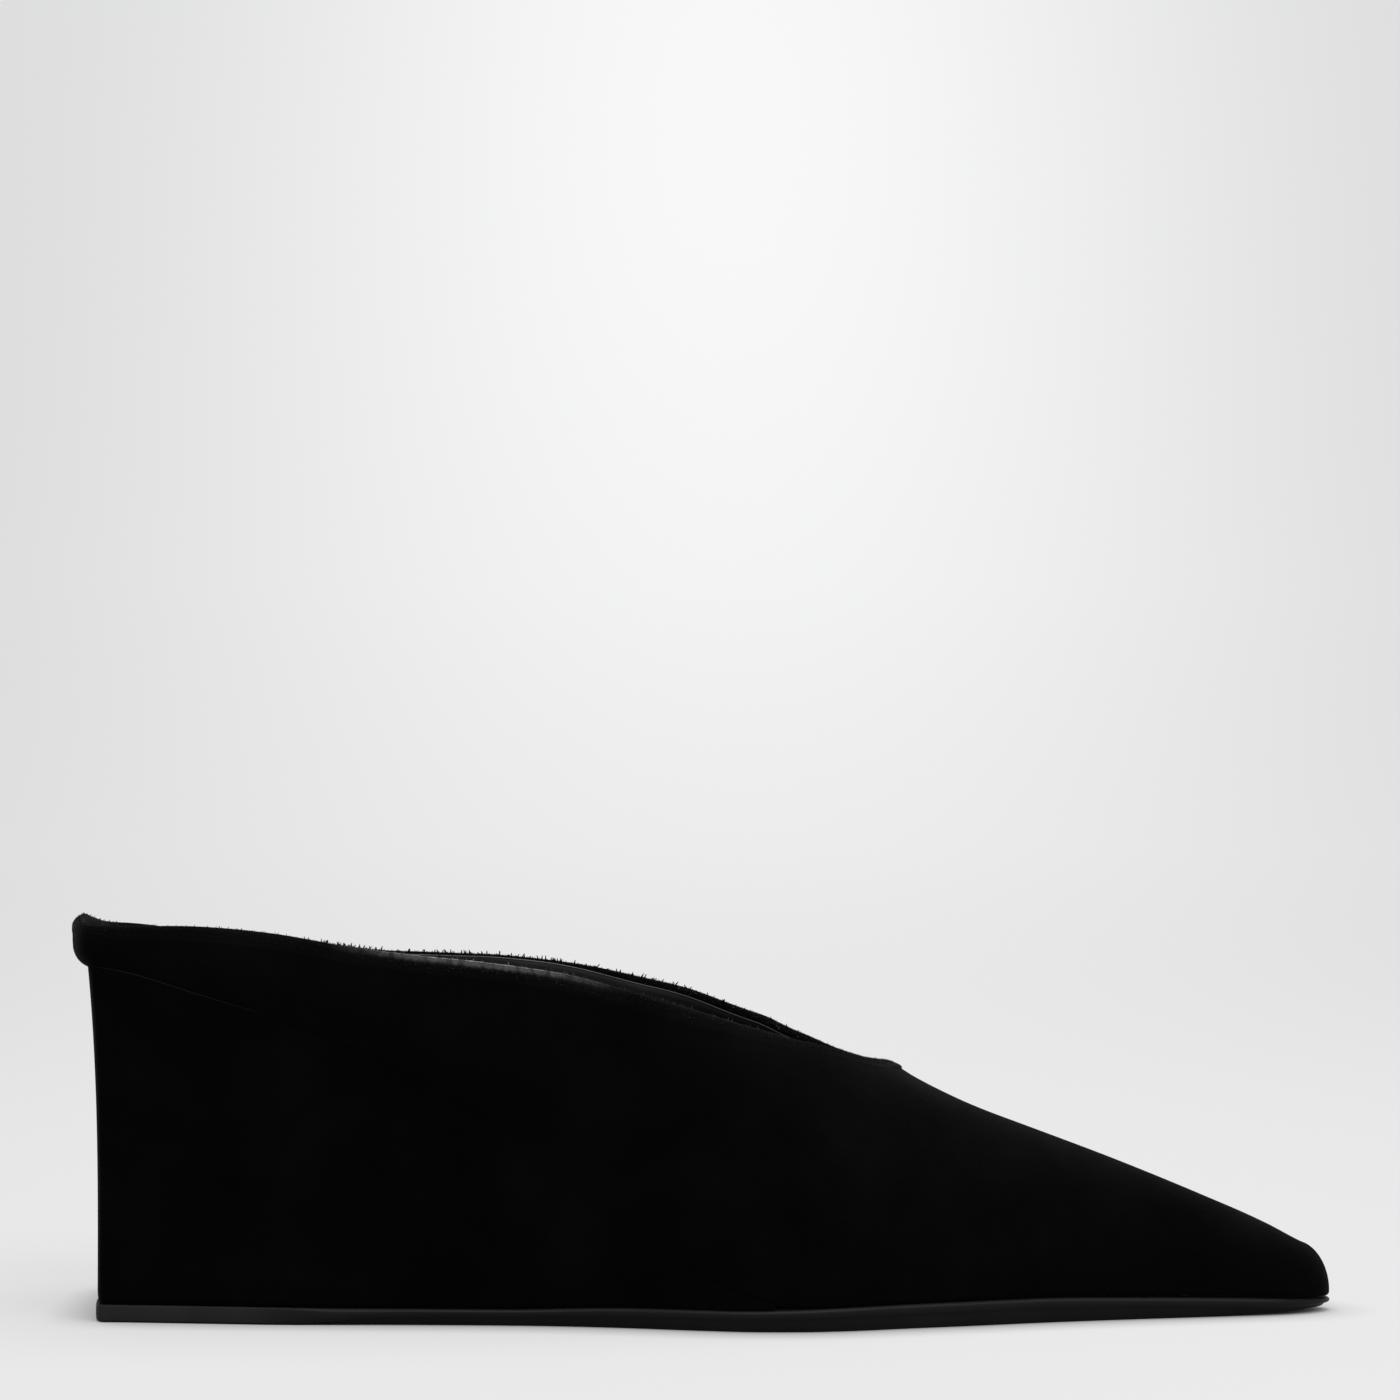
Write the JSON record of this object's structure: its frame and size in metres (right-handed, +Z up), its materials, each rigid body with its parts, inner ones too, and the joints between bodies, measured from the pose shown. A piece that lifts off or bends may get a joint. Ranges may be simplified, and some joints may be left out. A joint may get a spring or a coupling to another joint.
{
  "type": "wedge mule",
  "caption": "Backless pointed velvet mule on a full, flat-backed wedge, with a thin rubber sole, a low collar all round and a leather footbed.",
  "frame": {"origin": "on the floor, at the middle of the shoe's outline seen from above", "axes": "+X from the heel to the toe, +Y to the wearer's left, which is the inner side of this right shoe, +Z up"},
  "size_m": [0.2612, 0.0793, 0.0816],
  "materials": {
    "velvet": "deep black short pile velvet, matte, lighter only at grazing edges and where the pile is pressed",
    "outsole_rubber": "matte black rubber with a faint gloss on the rounded lip",
    "lining_leather": "smooth black leather, fine grain, satin"
  },
  "bodies": {
    "root": {"outsole": "outsole_rubber", "wedge_heel": "velvet", "upper": "velvet", "insole": "lining_leather"}
  },
  "joints": []
}
